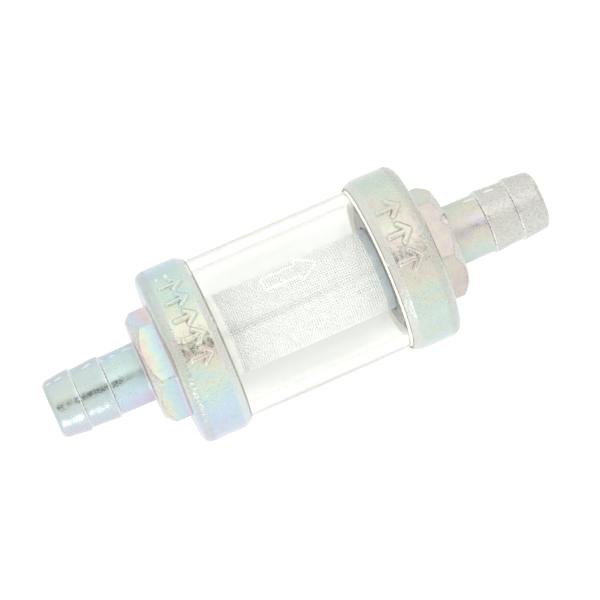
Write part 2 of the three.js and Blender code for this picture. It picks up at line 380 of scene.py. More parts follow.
def cut_thread_and_slots(rings, angles, hole_end, direction, slotted):
    """Cuts the thread into the rings of the threaded hole, and the slots into those of the boss."""
    outwards, radius = rings[..., 0], rings[..., 1]
    in_hole = (radius == THREAD_HOLE_R) & (outwards <= hole_end) & (outwards >= BOSS_BORE_DEPTH)
    x = direction * (MOUTH + outwards)
    groove = thread_groove(x, np.broadcast_to(angles, radius.shape))
    rings[..., 1] = np.where(in_hole, radius - THREAD_DEPTH * groove, radius)
    if slotted:
        quarter = TAU / SLOT_COUNT
        from_slot = angles % quarter - quarter / 2
        half_width = SLOT_WIDTH / 2 / ((BOSS_R + BOSS_BORE_R) / 2)
        inside = ease((half_width - np.abs(from_slot)) / 0.03 + 0.5)
        on_boss = (radius >= BOSS_BORE_R) & (radius <= BOSS_R) & (outwards < SLOT_DEPTH)
        sunk = outwards + (SLOT_DEPTH - outwards) * inside
        rings[..., 0] = np.where(on_boss, sunk, outwards)
    return rings


CASTING_WAVES = ((0.45, 0.035), (1.7, 0.018))   # waves in each mm, and their height in mm


def roughen(piece, seed, weight):
    """Moves each vertex a little along its normal, as on a casting."""
    mesh = piece.data
    count = len(mesh.vertices)
    places = np.empty(count * 3)
    normals = np.empty(count * 3)
    mesh.vertices.foreach_get("co", places)
    mesh.vertex_normals.foreach_get("vector", normals)
    places, normals = places.reshape(-1, 3), normals.reshape(-1, 3)
    shift = np.empty(count)
    offset = Vector((seed, seed * 2, seed * 3))
    for i, place in enumerate(places / MM):
        at = Vector(place)
        shift[i] = sum(noise.noise(at * waves + offset) * height for waves, height in CASTING_WAVES)
    places += normals * (shift * weight(places / MM) * MM)[:, None]
    mesh.vertices.foreach_set("co", places.reshape(-1))
    mesh.update()


def on_outside(places):
    """1 on the outside of the caps, and 0 inside them."""
    radius = np.hypot(places[:, 1], places[:, 2])
    outwards = np.abs(places[:, 0]) - MOUTH
    past_mouth = ease((outwards - 0.1) / 0.6)
    outer = np.where(outwards < CAP_LENGTH - 0.5, radius > RECESS_R + 0.1, radius > NIPPLE_BORE_R + 0.3)
    deep = (outwards < HEX_END - 1) & (radius < HEX_APOTHEM - 1)
    return past_mouth * outer * ~deep


def make_cap(name, direction, marks, material, seed):
    """A cap casting. Its marks are (angle of their middle, reach, and what mark_heights takes)."""
    centre, reach, arrows = marks
    angles = cap_columns(centre, reach)
    corners, hole_end = cap_outline(angles)
    rings = rings_through(corners, len(angles))
    rings = cut_thread_and_slots(rings, angles, hole_end, direction, slotted=direction < 0)
    on_rim = (rings[..., 1] > RIM_R - 0.4) & (rings[..., 0] < CAP_LENGTH - 0.5)
    across = np.broadcast_to((angles - centre) * RIM_R, on_rim.shape)
    heights = mark_heights(across, rings[..., 0], points_out=direction > 0, **arrows)
    rings[..., 1] += np.where(on_rim, heights, 0)
    if direction > 0:
        rings = press_ejector_mark(rings, angles)
    vertices = turned_vertices(rings, angles, direction * MOUTH, direction)
    piece = new_object(name, vertices, grid_faces(len(rings), len(angles)), material)
    roughen(piece, seed, on_outside)
    return piece


EJECTOR_AT = (10.3, 0.8)   # outwards, and sideways
EJECTOR_R = 0.95
EJECTOR_DEPTH = 0.13


def press_ejector_mark(rings, angles):
    """A shallow round dent where an ejector pin met the edge of the upward flat."""
    sideways = rings[..., 1] * np.cos(angles)
    faces_up = np.sin(angles) > 0.8
    distance = np.hypot(rings[..., 0] - EJECTOR_AT[0], sideways - EJECTOR_AT[1])
    on_side = (rings[..., 1] > HEX_FACE_R - 0.05) & (rings[..., 0] > CAP_LENGTH + 1)
    dent = EJECTOR_DEPTH * ease((EJECTOR_R - distance) / 0.12) * (on_side & faces_up)
    rings[..., 1] -= dent
    return rings


# ---- Bowl ----


def make_glass(material):
    corners = [
        (-GLASS_END, GLASS_R, 0.2, 1.5),
        (GLASS_END, GLASS_R, 0.2, 0.6),
        (GLASS_END, GLASS_R - GLASS_WALL, 0.2, 1.5),
        (-GLASS_END, GLASS_R - GLASS_WALL, 0.2, 0.6),
    ]
    glass = turned("glass_bowl", corners, material, columns=288)
    glass.visible_shadow = False   # so that the element inside is lit
    return glass


def make_gasket(name, node, material):
    start, end = along(node)
    corners = [
        (start, GASKET_R, 0.25, 0.5),
        (end, GASKET_R, 0.25, 0.5),
        (end, GASKET_BORE_R, 0.25, 0.5),
        (start, GASKET_BORE_R, 0.25, 0.5),
    ]
    return turned(name, corners, material, columns=192)


ARROW_ANGLE = FACING - math.radians(21)
ARROW_TAIL, ARROW_SHOULDER, ARROW_TIP = -3.95, 0.85, 3.5
ARROW_HALF, ARROW_HEAD_HALF = 0.79, 1.68
ARROW_LINE = 0.17
ARROW_PROUD = 0.03
# Across the line, as (share of its width, share of its height). Its edges sink into the glass.
ARROW_SECTION = ((-0.5, -0.01), (-0.35, 1), (0.35, 1), (0.5, -0.01))


def make_arrow(material):
    """The outline of a block arrow that points downstream, fired onto the glass."""
    outline = [
        (ARROW_TAIL, ARROW_HALF),
        (ARROW_SHOULDER, ARROW_HALF),
        (ARROW_SHOULDER, ARROW_HEAD_HALF),
        (ARROW_TIP, 0),
        (ARROW_SHOULDER, -ARROW_HEAD_HALF),
        (ARROW_SHOULDER, -ARROW_HALF),
        (ARROW_TAIL, -ARROW_HALF),
    ]
    points = []
    for i, corner in enumerate(outline):
        start, end = np.array(corner), np.array(outline[(i + 1) % len(outline)])
        steps = max(2, math.ceil(np.linalg.norm(end - start) / 0.25))
        points += [start + (end - start) * k / steps for k in range(steps)]
    points = np.array(points)
    run = np.roll(points, -1, axis=0) - np.roll(points, 1, axis=0)
    normal = np.stack([run[:, 1], -run[:, 0]], -1)
    normal /= np.linalg.norm(normal, axis=-1, keepdims=True)
    rows = []
    for sideways, height in ARROW_SECTION:
        placed = points + normal * sideways * ARROW_LINE
        radius = GLASS_R + height * ARROW_PROUD
        angle = ARROW_ANGLE + placed[:, 1] / GLASS_R
        rows.append(np.stack([placed[:, 0], radius * np.cos(angle), radius * np.sin(angle)], -1))
    vertices = np.concatenate(rows)
    return new_object("flow_arrow", vertices, grid_faces(len(rows), len(points)), material)


# ---- Stud ----

WEB_START, WEB_END = -12.25, -8.65
DRILL_POINT = 0.8
THREAD_RUN_OUT = 0.5
INLET_PORT_X, INLET_PORT_R = -13.95, 1.0
OUTLET_PORT_XS = tuple(share * GAUZE_END for share in (-0.25, 0.2, 0.65))
OUTLET_PORT_R = 1.25


def make_stud(material):
    columns = 144
    shank_end = MOUTH + BOSS_BORE_DEPTH - SHANK_RELIEF
    corners = [
        (WEB_START + DRILL_POINT, 0, 0, 0.5),
        (WEB_START, STUD_BORE_R, 0, 1),
        (-STUD_END, STUD_BORE_R, 0.1, 0.5),
        (-STUD_END, STUD_R, 0, THREAD_PITCH / 10),
        (-shank_end, STUD_R, 0, 0.4),
        (shank_end, STUD_R, 0, THREAD_PITCH / 10),
        (STUD_END, STUD_R, 0, 0.5),
        (STUD_END, STUD_BORE_R, 0.1, 1),
        (WEB_END, STUD_BORE_R, 0, 0.5),
        (WEB_END - DRILL_POINT, 0, 0, 1),
    ]
    rings = rings_through(corners, columns, closed=False)
    angles = even_angles(columns)
    x, radius = rings[..., 0], rings[..., 1]
    run_out = ease((np.abs(x) - shank_end) / THREAD_RUN_OUT)
    groove = thread_groove(x, np.broadcast_to(angles, x.shape)) * run_out
    rings[..., 1] = np.where(radius == STUD_R, radius - THREAD_DEPTH * groove, radius)
    faces = grid_faces(len(rings), columns, closed_rows=False)
    stud = new_object("hollow_stud", turned_vertices(rings, angles), faces, material)
    rows = [(INLET_PORT_X, INLET_PORT_R)] + [(x, OUTLET_PORT_R) for x in OUTLET_PORT_XS]
    return drill_across(stud, rows)


def drill_across(piece, rows):
    """Cuts a row of four ports through the wall at each (place, radius)."""
    body = bmesh.new()
    for place, radius in rows:
        for axis in ("Y", "Z"):
            made = bmesh.ops.create_cone(
                body,
                cap_ends=True,
                segments=32,
                radius1=radius * MM,
                radius2=radius * MM,
                depth=(STUD_R + 2) * 2 * MM,
            )["verts"]
            if axis == "Y":
                bmesh.ops.rotate(body, verts=made, matrix=Matrix.Rotation(math.pi / 2, 3, "X"))
            bmesh.ops.translate(body, verts=made, vec=(place * MM, 0, 0))
    mesh = bpy.data.meshes.new("ports")
    body.to_mesh(mesh)
    body.free()
    cutter = linked(bpy.data.objects.new("ports", mesh))
    cut = piece.modifiers.new("ports", "BOOLEAN")
    cut.operation = "DIFFERENCE"
    cut.solver = "EXACT"
    cut.use_self = True
    cut.object = cutter
    apply_modifiers(piece)
    bpy.data.objects.remove(cutter)
    return piece


def apply_modifiers(piece):
    """Replaces a piece's mesh with the result of its modifiers."""
    bpy.context.view_layer.update()
    graph = bpy.context.evaluated_depsgraph_get()
    made = bpy.data.meshes.new_from_object(piece.evaluated_get(graph))
    piece.modifiers.clear()
    old = piece.data
    piece.data = made
    bpy.data.meshes.remove(old)


# ---- Filter element ----

THREAD_SPACING = 0.33
NYLON_WIDTH = 0.285
NYLON_THICKNESS = 0.12
WEAVE_SWAY = 0.075


def strand_faces(strands, points, sides, closed):
    """Quads of many tubes, each a run of points with a few sides, closed on itself or capped."""
    one = grid_faces(points, sides, closed_rows=closed)
    offsets = np.arange(strands)[:, None, None] * points * sides
    faces = (one[None] + offsets).reshape(-1, 4).tolist()
    if not closed:
        for strand in range(strands):
            base = strand * points * sides
            last = base + (points - 1) * sides
            faces.append([base + k for k in range(sides)])
            faces.append([last + k for k in reversed(range(sides))])
    return faces


def new_strands(name, vertices, faces, material):
    """A mesh object from vertices in millimetres, whose faces are already turned the right way."""
    mesh = bpy.data.meshes.new(name)
    mesh.from_pydata((vertices * MM).tolist(), [], faces)
    mesh.polygons.foreach_set("use_smooth", [True] * len(mesh.polygons))
    mesh.materials.append(material)
    return linked(bpy.data.objects.new(name, mesh))


def make_gauze(material):
    """Plain-woven nylon: threads along the sleeve and threads round it, each passing over and under."""
    middle_r = GAUZE_R - GAUZE_THICKNESS / 2
    lengthwise = 2 * round(TAU * middle_r / THREAD_SPACING / 2)
    hoops = round((GAUZE_END - GAUZE_START) / THREAD_SPACING)
    section = np.array([(1, 0), (0, 1), (-1, 0), (0, -1)], float) / 2
    first, last = GAUZE_START, GAUZE_END

    points = 2 * hoops + 1
    x = np.linspace(first, last, points)
    strand = np.arange(lengthwise)
    angle = (strand * TAU / lengthwise)[:, None, None]
    sway = np.sin(math.pi * hoops * (x - first) / (last - first))[None, :, None]
    sway = sway * np.where(strand % 2, 1, -1)[:, None, None]
    radius = middle_r + sway * WEAVE_SWAY / 2 + section[:, 1] * NYLON_THICKNESS
    turn = angle + section[:, 0] * NYLON_WIDTH / middle_r
    vertices = np.stack(
        [np.broadcast_to(x[None, :, None], radius.shape), radius * np.cos(turn), radius * np.sin(turn)], -1
    ).reshape(-1, 3)
    faces = strand_faces(lengthwise, points, 4, closed=False)
    along_sleeve = new_strands("gauze_lengthwise", vertices, faces, material)

    points = 2 * lengthwise
    strand = np.arange(hoops)
    centre_x = (first + (strand + 0.5) * (last - first) / hoops)[:, None, None]
    angle = (np.arange(points) * TAU / points)[None, :, None]
    sway = np.cos(angle * lengthwise / 2) * np.where(strand % 2, 1, -1)[:, None, None]
    radius = middle_r - sway * WEAVE_SWAY / 2 + section[:, 1] * NYLON_THICKNESS
    x = np.broadcast_to(centre_x + section[:, 0] * NYLON_WIDTH, radius.shape)
    vertices = np.stack([x, radius * np.cos(angle), radius * np.sin(angle)], -1).reshape(-1, 3)
    faces = strand_faces(hoops, points, 4, closed=True)
    round_sleeve = new_strands("gauze_hoops", vertices, faces, material)
    return along_sleeve, round_sleeve


CAGE_TURN = math.radians(22.5)
CAGE_EDGE = 0.12


def make_cage(material):
    """The moulded tube inside the gauze: a sheet with windows, given its wall and rounded edges."""
    rib_angle = CAGE_RIB_WIDTH / CAGE_R
    window_angle = TAU / CAGE_RIBS - rib_angle
    angles = []
    is_rib = []
    for rib in range(CAGE_RIBS):
        start = rib * TAU / CAGE_RIBS - rib_angle / 2 + CAGE_TURN
        angles += [start + rib_angle * k / 3 for k in range(3)]
        is_rib += [True] * 3
        angles += [start + rib_angle + window_angle * k / 6 for k in range(6)]
        is_rib += [False] * 6
    bay = (CAGE_END - CAGE_START - CAGE_RING) / CAGE_BAYS
    places = []
    is_ring = []
    for i in range(CAGE_BAYS):
        start = CAGE_START + i * bay
        places += [start, start + CAGE_RING / 2]
        is_ring += [True, True]
        places += [start + CAGE_RING + (bay - CAGE_RING) * k / 5 for k in range(5)]
        is_ring += [False] * 5
    places += [CAGE_END - CAGE_RING, CAGE_END - CAGE_RING / 2, CAGE_END]
    is_ring += [True, True]
    columns = len(angles)
    vertices = [(x, CAGE_R * math.cos(a), CAGE_R * math.sin(a)) for x in places for a in angles]
    faces = []
    for row in range(len(places) - 1):
        for column in range(columns):
            if not (is_ring[row] or is_rib[column]):
                continue
            next_column = (column + 1) % columns
            faces.append(
                [
                    row * columns + column,
                    row * columns + next_column,
                    (row + 1) * columns + next_column,
                    (row + 1) * columns + column,
                ]
            )
    cage = new_strands("cage_moulding", np.array(vertices), faces, material)
    wall = cage.modifiers.new("wall", "SOLIDIFY")
    wall.thickness = CAGE_WALL * MM
    wall.offset = -1
    bevel = cage.modifiers.new("edges", "BEVEL")
    bevel.width = CAGE_EDGE * MM
    bevel.segments = 2
    bevel.limit_method = "ANGLE"
    apply_modifiers(cage)
    return cage


def make_end_pieces(nylon, collar_material, rubber):
    spigot_r = CAGE_R - CAGE_WALL - 0.05
    plug = turned(
        "plug_moulding",
        [
            (PLUG_START, ELEMENT_BORE_R, 0.1, 1),
            (PLUG_START, GAUZE_R, 0.25, 0.6),
            (GAUZE_START, GAUZE_R, 0.05, 0.5),
            (GAUZE_START, spigot_r, 0.05, 0.5),
            (PLUG_END, spigot_r, 0.1, 0.5),
            (PLUG_END, ELEMENT_BORE_R, 0.1, 1),
        ],
        nylon,
    )
    collar = turned(
        "collar_moulding",
        [
            (COLLAR_END, ELEMENT_BORE_R, 0.1, 1),
            (COLLAR_START, ELEMENT_BORE_R, 0.1, 0.5),
            (COLLAR_START, spigot_r, 0.1, 0.5),
            (GAUZE_END, spigot_r, 0.05, 0.5),
            (GAUZE_END, GAUZE_R, 0.05, 0.5),
            (COLLAR_END, GAUZE_R, 0.25, 0.6),
        ],
        collar_material,
    )
    washer = turned(
        "washer_ring",
        [
            (WASHER_START, ELEMENT_BORE_R, 0.12, 0.5),
            (WASHER_START, GAUZE_R - 0.05, 0.12, 0.5),
            (WASHER_END, GAUZE_R - 0.05, 0.12, 0.5),
            (WASHER_END, ELEMENT_BORE_R, 0.12, 0.5),
        ],
        rubber,
    )
    return plug, collar, washer


# ---- Materials ----


ROOM_LIGHT = 1.45


def colour(red, green, blue):
    """A colour as it looks on a screen, from 0 to 255, as the linear one that a shader takes."""

    def linear(level):
        share = level / 255
        return share / 12.92 if share <= 0.04045 else ((share + 0.055) / 1.055) ** 2.4

    return (linear(red), linear(green), linear(blue), 1)


def metal(red, green, blue):
    """The colour of a metal that looks like this on a screen where it reflects the lit room."""
    return tuple(share / ROOM_LIGHT for share in colour(red, green, blue)[:3]) + (1,)


class Tree:
    """A material's nodes. Each call adds them and returns their output."""

    def __init__(self, name):
        self.material = bpy.data.materials.new(name)
        self.material.use_nodes = True
        self.tree = self.material.node_tree
        self.shader = self.tree.nodes["Principled BSDF"]

    def put(self, socket, value):
        if isinstance(value, bpy.types.NodeSocket):
            self.tree.links.new(value, socket)
        else:
            socket.default_value = value

    def add(self, kind, inputs=(), output=0, **settings):
        node = self.tree.nodes.new(kind)
        for name, value in settings.items():
            setattr(node, name, value)
        for name, value in dict(inputs).items():
            self.put(node.inputs[name], value)
        return node.outputs[output]

    def math(self, operation, first, second=0.0, third=0.0):
        values = {0: first, 1: second, 2: third}
        return self.add("ShaderNodeMath", values, operation=operation)

    def plus(self, first, second):
        return self.math("ADD", first, second)

    def minus(self, first, second):
        return self.math("SUBTRACT", first, second)

    def times(self, first, second):
        return self.math("MULTIPLY", first, second)

    def times_plus(self, first, second, third):
        return self.math("MULTIPLY_ADD", first, second, third)

    def most(self, first, second):
        return self.math("MAXIMUM", first, second)

    def size(self, value):
        return self.math("ABSOLUTE", value)

    def axes(self, place):
        """The x, y and z of a place."""
        node = self.add("ShaderNodeSeparateXYZ", {0: place}).node
        return node.outputs[0], node.outputs[1], node.outputs[2]

    def place(self):
        """Object coordinates in millimetres."""
        metres = self.add("ShaderNodeTexCoord", output="Object")
        return self.add("ShaderNodeVectorMath", {0: metres, "Scale": 1 / MM}, operation="SCALE")

    def noise(self, place, scale, detail=3.0, roughness=0.55, shift=0.0, squash=(1, 1, 1)):
        steps = {0: place, 1: squash, 2: (shift, shift, shift)}
        moved = self.add("ShaderNodeVectorMath", steps, operation="MULTIPLY_ADD")
        inputs = {"Vector": moved, "Scale": scale, "Detail": detail, "Roughness": roughness}
        return self.add("ShaderNodeTexNoise", inputs, output="Fac")

    def ramp(self, value, stops):
        """A colour between the two stops nearest to a value."""
        node = self.tree.nodes.new("ShaderNodeValToRGB")
        elements = node.color_ramp.elements
        while len(elements) < len(stops):
            elements.new(0.5)
        for element, (position, shade) in zip(elements, stops):
            element.position = position
            element.color = shade
        self.put(node.inputs["Fac"], value)
        return node.outputs["Color"]

    def span(self, value, start, end, low=0.0, high=1.0):
        """A smooth step from low, where the value is start, to high, where it is end."""
        inputs = {"Value": value, "From Min": start, "From Max": end, "To Min": low, "To Max": high}
        return self.add("ShaderNodeMapRange", inputs, interpolation_type="SMOOTHSTEP")

    def mix(self, share, first, second):
        """A colour that is the first at a share of 0, and the second at 1."""
        inputs = {"Factor": share, 6: first, 7: second}
        node = self.tree.nodes.new("ShaderNodeMix")
        node.data_type = "RGBA"
        for name, value in inputs.items():
            self.put(node.inputs[name], value)
        return node.outputs[2]

    def bump(self, height, distance, strength=1.0, under=None):
        inputs = {"Height": height, "Distance": distance * MM, "Strength": strength}
        if under is not None:
            inputs["Normal"] = under
        return self.add("ShaderNodeBump", inputs)

    def set(self, **values):
        for name, value in values.items():
            self.put(self.shader.inputs[name.replace("_", " ")], value)


FILM_CREST = FACING - math.radians(10)   # where round a cap the film runs furthest
FILM_COLOURS = [
    (0.00, metal(224, 210, 227)),
    (0.12, metal(211, 213, 234)),
    (0.25, metal(203, 222, 237)),
    (0.42, metal(203, 228, 228)),
    (0.58, metal(213, 233, 220)),
    (0.72, metal(231, 232, 209)),
    (0.84, metal(230, 216, 204)),
    (0.93, metal(224, 206, 211)),
    (1.00, metal(224, 210, 227)),
]
SILVER = metal(206, 210, 208)
OLIVE = metal(207, 208, 200)
PINK = metal(242, 212, 224)
# Dark grain specks, a broken dark line at the hexagon's chamfer, and painted shade at the mouth's lip.
DARK_GRAIN_AND_SHADE = metal(120, 118, 116)
# Painted shade, with some dirt, for the hollows: the feet of steps and of raised marks.
CREVICE = metal(150, 152, 142)
# A pale matte colour for worn metal and for painted highlights on edges.
EDGE = metal(248, 248, 244)
BLACK = (0, 0, 0, 1)

# How each cap is finished. Film is a place in FILM_COLOURS. It is film_start at the cap's sides, and
# swing further at the crest. The hexagon's sides are numbered round it, with 0 facing up, and a side
# has the film side_start + side * (side_lean + side * side_bend), and side_rise further at its end.
INLET_FINISH = dict(
    seed=11.0,
    plain=SILVER,
    # Painted light inside the cap: a near-white recess, and a light boss.
    recess=colour(250, 250, 247),
    boss=metal(240, 240, 236),
    tint=0.92,
    film_start=0.13,
    swing=0.62,
    nipple_swing=0.36,
    mottle=0.5,
    coarseness=0.06,
    side_start=0.32,
    side_rise=0.56,
    side_bend=0.19,
    side_lean=-0.31,
    side_dark=0.0,
)
OUTLET_FINISH = dict(
    seed=37.0,
    plain=OLIVE,
    # Painted light and shade inside the cap: a near-white recess, and a dark olive boss for its shade.
    recess=colour(236, 236, 222),
    boss=metal(108, 112, 66),
    tint=0.66,
    film_start=0.5,
    swing=0.28,
    nipple_swing=0.3,
    mottle=0.55,
    coarseness=0.5,
    side_start=0.82,
    side_rise=0.06,
    side_bend=-0.1,
    side_lean=0.08,
    side_dark=0.09,
)

# Outwards and radius add up to more than this on the chamfer of a hexagon.
CHAMFER_LINE = HEX_END + HEX_FACE_R
BARBS_START, BARBS_END = 14, 17   # outwards, where the nipple's finish turns into that of its barbs
RIDGE_MIDDLE = 0.12               # from the start of a barb to the middle of its edge


class ZincTree(Tree):
    """A cap's material, with the zones of the cap that its colour and relief depend on."""

    def __init__(self, name, finish):
        super().__init__(name)
        self.finish = finish
        self.seed = finish["seed"]
        self.at = self.place()
        x, self.y, self.z = self.axes(self.at)
        self.outwards = self.minus(self.size(x), MOUTH)
        self.radius = self.math("SQRT", self.plus(self.times(self.y, self.y), self.times(self.z, self.z)))
        self.diagonal = self.plus(self.outwards, self.radius)
        hexagon_start = self.span(self.outwards, CAP_LENGTH, CAP_LENGTH + 0.15)
        hexagon_end = self.span(self.outwards, HEX_END + 0.2, HEX_END - 0.1)
        self.on_hexagon = self.times(hexagon_start, hexagon_end)
        on_chamfer = self.span(self.diagonal, CHAMFER_LINE - 0.1, CHAMFER_LINE)
        self.chamfer = self.times(self.on_hexagon, on_chamfer)
        self.shoulder = self.times(self.span(self.outwards, 5.1, 5.7), self.span(self.outwards, 6.85, 6.5))
        self.mouth = self.span(self.outwards, 1.4, 0.9)
        self.barbs = self.span(self.outwards, BARBS_START, BARBS_END)
        self.coarse_barbs = self.times(self.barbs, finish["coarseness"])
        self.patches = self.noise(self.at, 0.6, detail=3.0, shift=self.seed + 9)
        self.grain = self.noise(self.at, 3.4, detail=4.0, roughness=0.75, shift=self.seed + 3)
        self.grit = self.noise(self.at, 3.3, detail=3.0, roughness=0.7, shift=self.seed + 21)


def zinc_film(t):
    """Colour of a thin clear passivation, whose thickness shifts it through FILM_COLOURS."""
    finish = t.finish
    towards_crest = t.plus(t.times(t.y, math.cos(FILM_CREST)), t.times(t.z, math.sin(FILM_CREST)))
    share = t.math("DIVIDE", towards_crest, t.most(t.radius, 0.1))
    facing = t.times(share, share)
    swing = t.span(t.outwards, HEX_END - 0.1, HEX_END + 0.4, finish["swing"], finish["nipple_swing"])
    clouds = t.noise(t.at, 0.16, detail=2.0, shift=t.seed)
    film = t.times_plus(facing, swing, finish["film_start"])
    film = t.times_plus(t.minus(clouds, 0.5), 0.6, film)
    film = t.times_plus(t.minus(t.patches, 0.5), finish["mottle"], film)

    turn = t.minus(t.math("ARCTAN2", t.z, t.y), TAU / 4)
    side = t.math("ROUND", t.math("DIVIDE", turn, TAU / 6))
    side_film = t.times(t.times_plus(side, finish["side_bend"], finish["side_lean"]), side)
    rise = t.span(t.outwards, CAP_LENGTH, HEX_END, 0.0, finish["side_rise"])
    side_film = t.plus(t.plus(side_film, finish["side_start"]), rise)
    side_film = t.times_plus(t.minus(t.patches, 0.5), 0.5, side_film)

    off_hexagon = t.minus(1.0, t.on_hexagon)
    film = t.plus(t.times(film, off_hexagon), t.times(side_film, t.on_hexagon))
    film = t.math("FRACT", t.plus(film, 2.0))
    return t.ramp(film, FILM_COLOURS)


def foot_ring(t, place, reach, radii):
    """A ring where a step of the cap ends. Reach and radii are where it begins, and where it is full."""
    distance = t.size(t.minus(t.outwards, place))
    return t.times(t.span(distance, *reach), t.span(t.radius, *radii))


def ridge_rings(t):
    """The edges of the two barbs, given a painted highlight along with their wear, broken up by the grain.
    """
    rings = []
    for barb in range(2):
        middle = HEX_END + NIPPLE_ROOT_LENGTH + barb * BARB_LENGTH + RIDGE_MIDDLE
        rings.append(t.span(t.size(t.minus(t.outwards, middle)), 0.24, 0.1))
    return t.times(t.most(*rings), t.span(t.grain, 0.38, 0.5, 0.1, 0.8))


def zinc_relief(t, worn):
    """The bumps of the casting: coarse waves, fine grain, grit on the barbs and pits on worn rims."""
    fine = t.noise(t.at, 5.0, detail=3.0, roughness=0.6, shift=t.seed + 5, squash=(0.55, 1, 1))
    coarse = t.noise(t.at, 1.2, detail=2.0, shift=t.seed + 7)
    pits = t.noise(t.at, 2.2, detail=2.0, shift=t.seed + 13)
    grainy = t.times_plus(t.most(worn, t.barbs), 0.5 * t.finish["coarseness"], 0.2)
    grainy = t.times(grainy, t.times_plus(t.on_hexagon, -0.6, 1.0))
    pitted = t.times(t.most(t.shoulder, t.times(t.mouth, 0.6)), 0.9)
    normal = t.bump(coarse, 0.05, 0.3)
    normal = t.bump(fine, 0.09, grainy, under=normal)
    normal = t.bump(t.grit, 0.07, t.coarse_barbs, under=normal)
    return t.bump(pits, 0.2, pitted, under=normal)


def zinc_material(name, finish):
    """Die-cast zinc under a thin clear passivation, worn at the edges. Its edges carry painted highlights,
    its corners painted shade with some dirt, and the inside of the cap painted light and shade.
    """
    t = ZincTree(name, finish)
    tint, coarseness = finish["tint"], finish["coarseness"]
    worn = t.most(t.times(t.mouth, 0.7), t.times(t.barbs, 0.6))
    worn = t.most(t.shoulder, worn)
    worn = t.most(worn, t.times(t.chamfer, 0.8))
    worn = t.times(worn, t.span(t.grain, 0.35, 0.6))
    bare = t.most(t.span(t.outwards, HEX_END, HEX_END + 0.3, 0.0, 0.45), t.barbs)
    film_share = t.times(t.minus(1.0, worn), t.times_plus(bare, -coarseness * tint, tint))
    base = t.mix(film_share, finish["plain"], zinc_film(t))
    base = t.mix(t.times(t.on_hexagon, finish["side_dark"]), base, BLACK)
    # Painted highlight, with wear: the mouth's chamfer is lightened.
    base = t.mix(t.times(t.mouth, 0.4), base, EDGE)

    from_line = t.size(t.minus(t.diagonal, CHAMFER_LINE - 0.05))
    broken = t.times(t.on_hexagon, t.span(t.grain, 0.6, 0.45))
    line = t.times(t.span(from_line, 0.12, 0.04), broken)
    base = t.mix(t.times(line, 0.45), base, DARK_GRAIN_AND_SHADE)

    hexagon_foot = foot_ring(t, CAP_LENGTH, (0.4, 0.05), (8.8, 8.2))
    nipple_foot = foot_ring(t, HEX_END, (0.5, 0.1), (4.9, 4.4))
    base = t.mix(t.times(t.most(hexagon_foot, nipple_foot), 0.6 * tint), base, PINK)

    fleck_strength = t.times_plus(t.barbs, 0.3 * coarseness, 0.25)
    flecks = t.times(t.span(t.grain, 0.28, 0.52, 1.0, 0.0), fleck_strength)
    pores = t.times(t.coarse_barbs, t.span(t.grit, 0.3, 0.62, 0.5, 0.0))
    # The barbs are lightened: worn bare metal with a painted highlight.
    base = t.mix(t.times(t.barbs, 0.6 * coarseness), base, EDGE)
    base = t.mix(flecks, base, DARK_GRAIN_AND_SHADE)
    base = t.mix(pores, base, DARK_GRAIN_AND_SHADE)

    # Inside the cap, painted light and shade: the recess is near-white and matte (dull) so that it looks
    # lit, and the boss takes its finish's painted brightness.
    above_floor = t.span(t.outwards, RECESS_DEPTH + 0.4, RECESS_DEPTH + 0.2)
    in_recess = t.times(t.span(t.radius, RECESS_R + 0.1, RECESS_R), above_floor)
    on_boss = t.times(in_recess, t.span(t.radius, BOSS_R + 0.5, BOSS_R + 0.3))
    base = t.mix(in_recess, base, finish["recess"])
    base = t.mix(on_boss, base, finish["boss"])
    dull = t.times(t.minus(in_recess, on_boss), 0.85)

    # Painted shade: the mouth's land and the top of the recess wall are darkened as if in the shadow of the
    # gap.
    in_lip = t.span(t.radius, MOUTH_LAND_R + 0.1, MOUTH_LAND_R)
    lip = t.times(t.span(t.outwards, 0.2, 0.1), in_lip)
    base = t.mix(t.times(lip, 0.7), base, DARK_GRAIN_AND_SHADE)

    # Painted shade, with some dirt: hollows that Pointiness finds are darkened, most of all round the rim's
    # marks.
    pointiness = t.add("ShaderNodeNewGeometry", output="Pointiness")
    on_rim = t.span(t.outwards, CAP_LENGTH - 0.2, CAP_LENGTH - 0.5)
    crevice = t.span(pointiness, 0.49, 0.45, 0.0, t.times_plus(on_rim, 0.5, 0.1))
    base = t.mix(crevice, base, CREVICE)
    # Painted highlight, with wear: convex edges, the barbs' edges and the hexagon's chamfer get a pale
    # matte colour and less metal. At the hexagon's foot the same mask paints a pink ring.
    edge = t.most(t.span(pointiness, 0.515, 0.555, 0.0, 0.8), ridge_rings(t))
    edge = t.most(edge, t.times(hexagon_foot, 0.7))
    edge = t.most(edge, t.times(t.chamfer, 0.45))
    base = t.mix(edge, base, t.mix(hexagon_foot, EDGE, PINK))

    blurred = t.times(t.span(t.outwards, 14.0, 11.5, 0.0, 0.16), t.span(t.radius, 5.2, 4.7))
    t.set(
        Base_Color=base,
        Metallic=t.minus(t.times_plus(edge, -0.7, 1.0), dull),
        Roughness=t.plus(t.span(t.grain, 0.3, 0.7, 0.17, 0.3), blurred),
        Normal=zinc_relief(t, worn),
    )
    return t.material


# The glass is ground in a narrow band round each end, mostly hidden by a cap.
BAND_START = MOUTH - 0.16
BAND_END = MOUTH + 0.55


